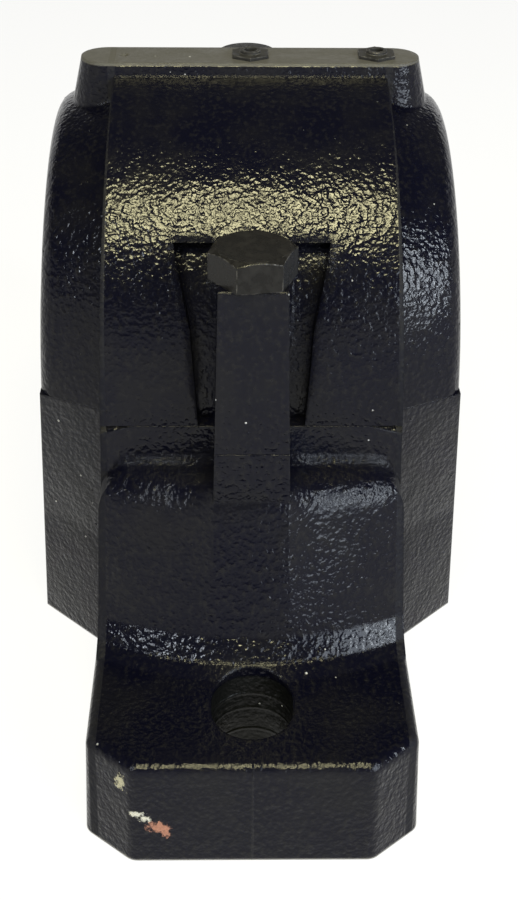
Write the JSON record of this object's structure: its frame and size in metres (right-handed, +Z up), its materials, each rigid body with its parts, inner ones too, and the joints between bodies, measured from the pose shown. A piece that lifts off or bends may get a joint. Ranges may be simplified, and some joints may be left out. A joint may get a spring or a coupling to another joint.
{
  "type": "split plummer block",
  "caption": "Split plummer block with a two-part cast housing that carries a self-aligning roller bearing on a tapered sleeve.",
  "frame": {"origin": "middle of the mounting face under the feet, straight below the shaft axis", "axes": "+X along the base from foot to foot, +Y along the shaft, +Z up"},
  "size_m": [0.345, 0.148, 0.1964],
  "materials": {
    "painted_iron": "gloss black paint over a rough sand-cast surface",
    "bolt_steel": "black semi-gloss",
    "plug_steel": "black, painted over",
    "bearing_steel": "ground and polished",
    "cage_brass": "machined",
    "sleeve_steel": "turned, lightly oiled",
    "seal_rubber": "matt black"
  },
  "bodies": {
    "housing": {"base_housing": "painted_iron", "cap_housing": "painted_iron", "cap_bolt_front": "bolt_steel", "cap_bolt_rear": "bolt_steel", "dowel_pin_front": "bearing_steel", "dowel_pin_rear": "bearing_steel", "grease_plug_centre": "plug_steel", "grease_plug_side": "plug_steel", "locating_ring_left": "sleeve_steel", "locating_ring_right": "sleeve_steel", "bearing_outer_ring": "bearing_steel", "seal_left_upper": "seal_rubber", "seal_left_lower": "seal_rubber", "seal_right_upper": "seal_rubber", "seal_right_lower": "seal_rubber"},
    "shaft_set": {"bearing_inner_ring": "bearing_steel", "adapter_sleeve": "sleeve_steel", "lock_washer": "sleeve_steel", "lock_nut": "sleeve_steel"},
    "roller_set": {"roller_cage": "cage_brass", "roller_row_left": "bearing_steel", "roller_row_right": "bearing_steel"}
  },
  "joints": [
    {"name": "shaft_spin", "type": "hinge", "parent": "housing", "child": "shaft_set", "pos_m": [0, 0, 0.1], "axis": [0, 1, 0], "continuous": true},
    {"name": "roller_orbit", "type": "hinge", "parent": "housing", "child": "roller_set", "pos_m": [0, 0, 0.1], "axis": [0, 1, 0], "continuous": true}
  ],
  "couplings": [
    {"joint": "roller_orbit", "follows": "shaft_spin", "ratio": 0.422}
  ]
}
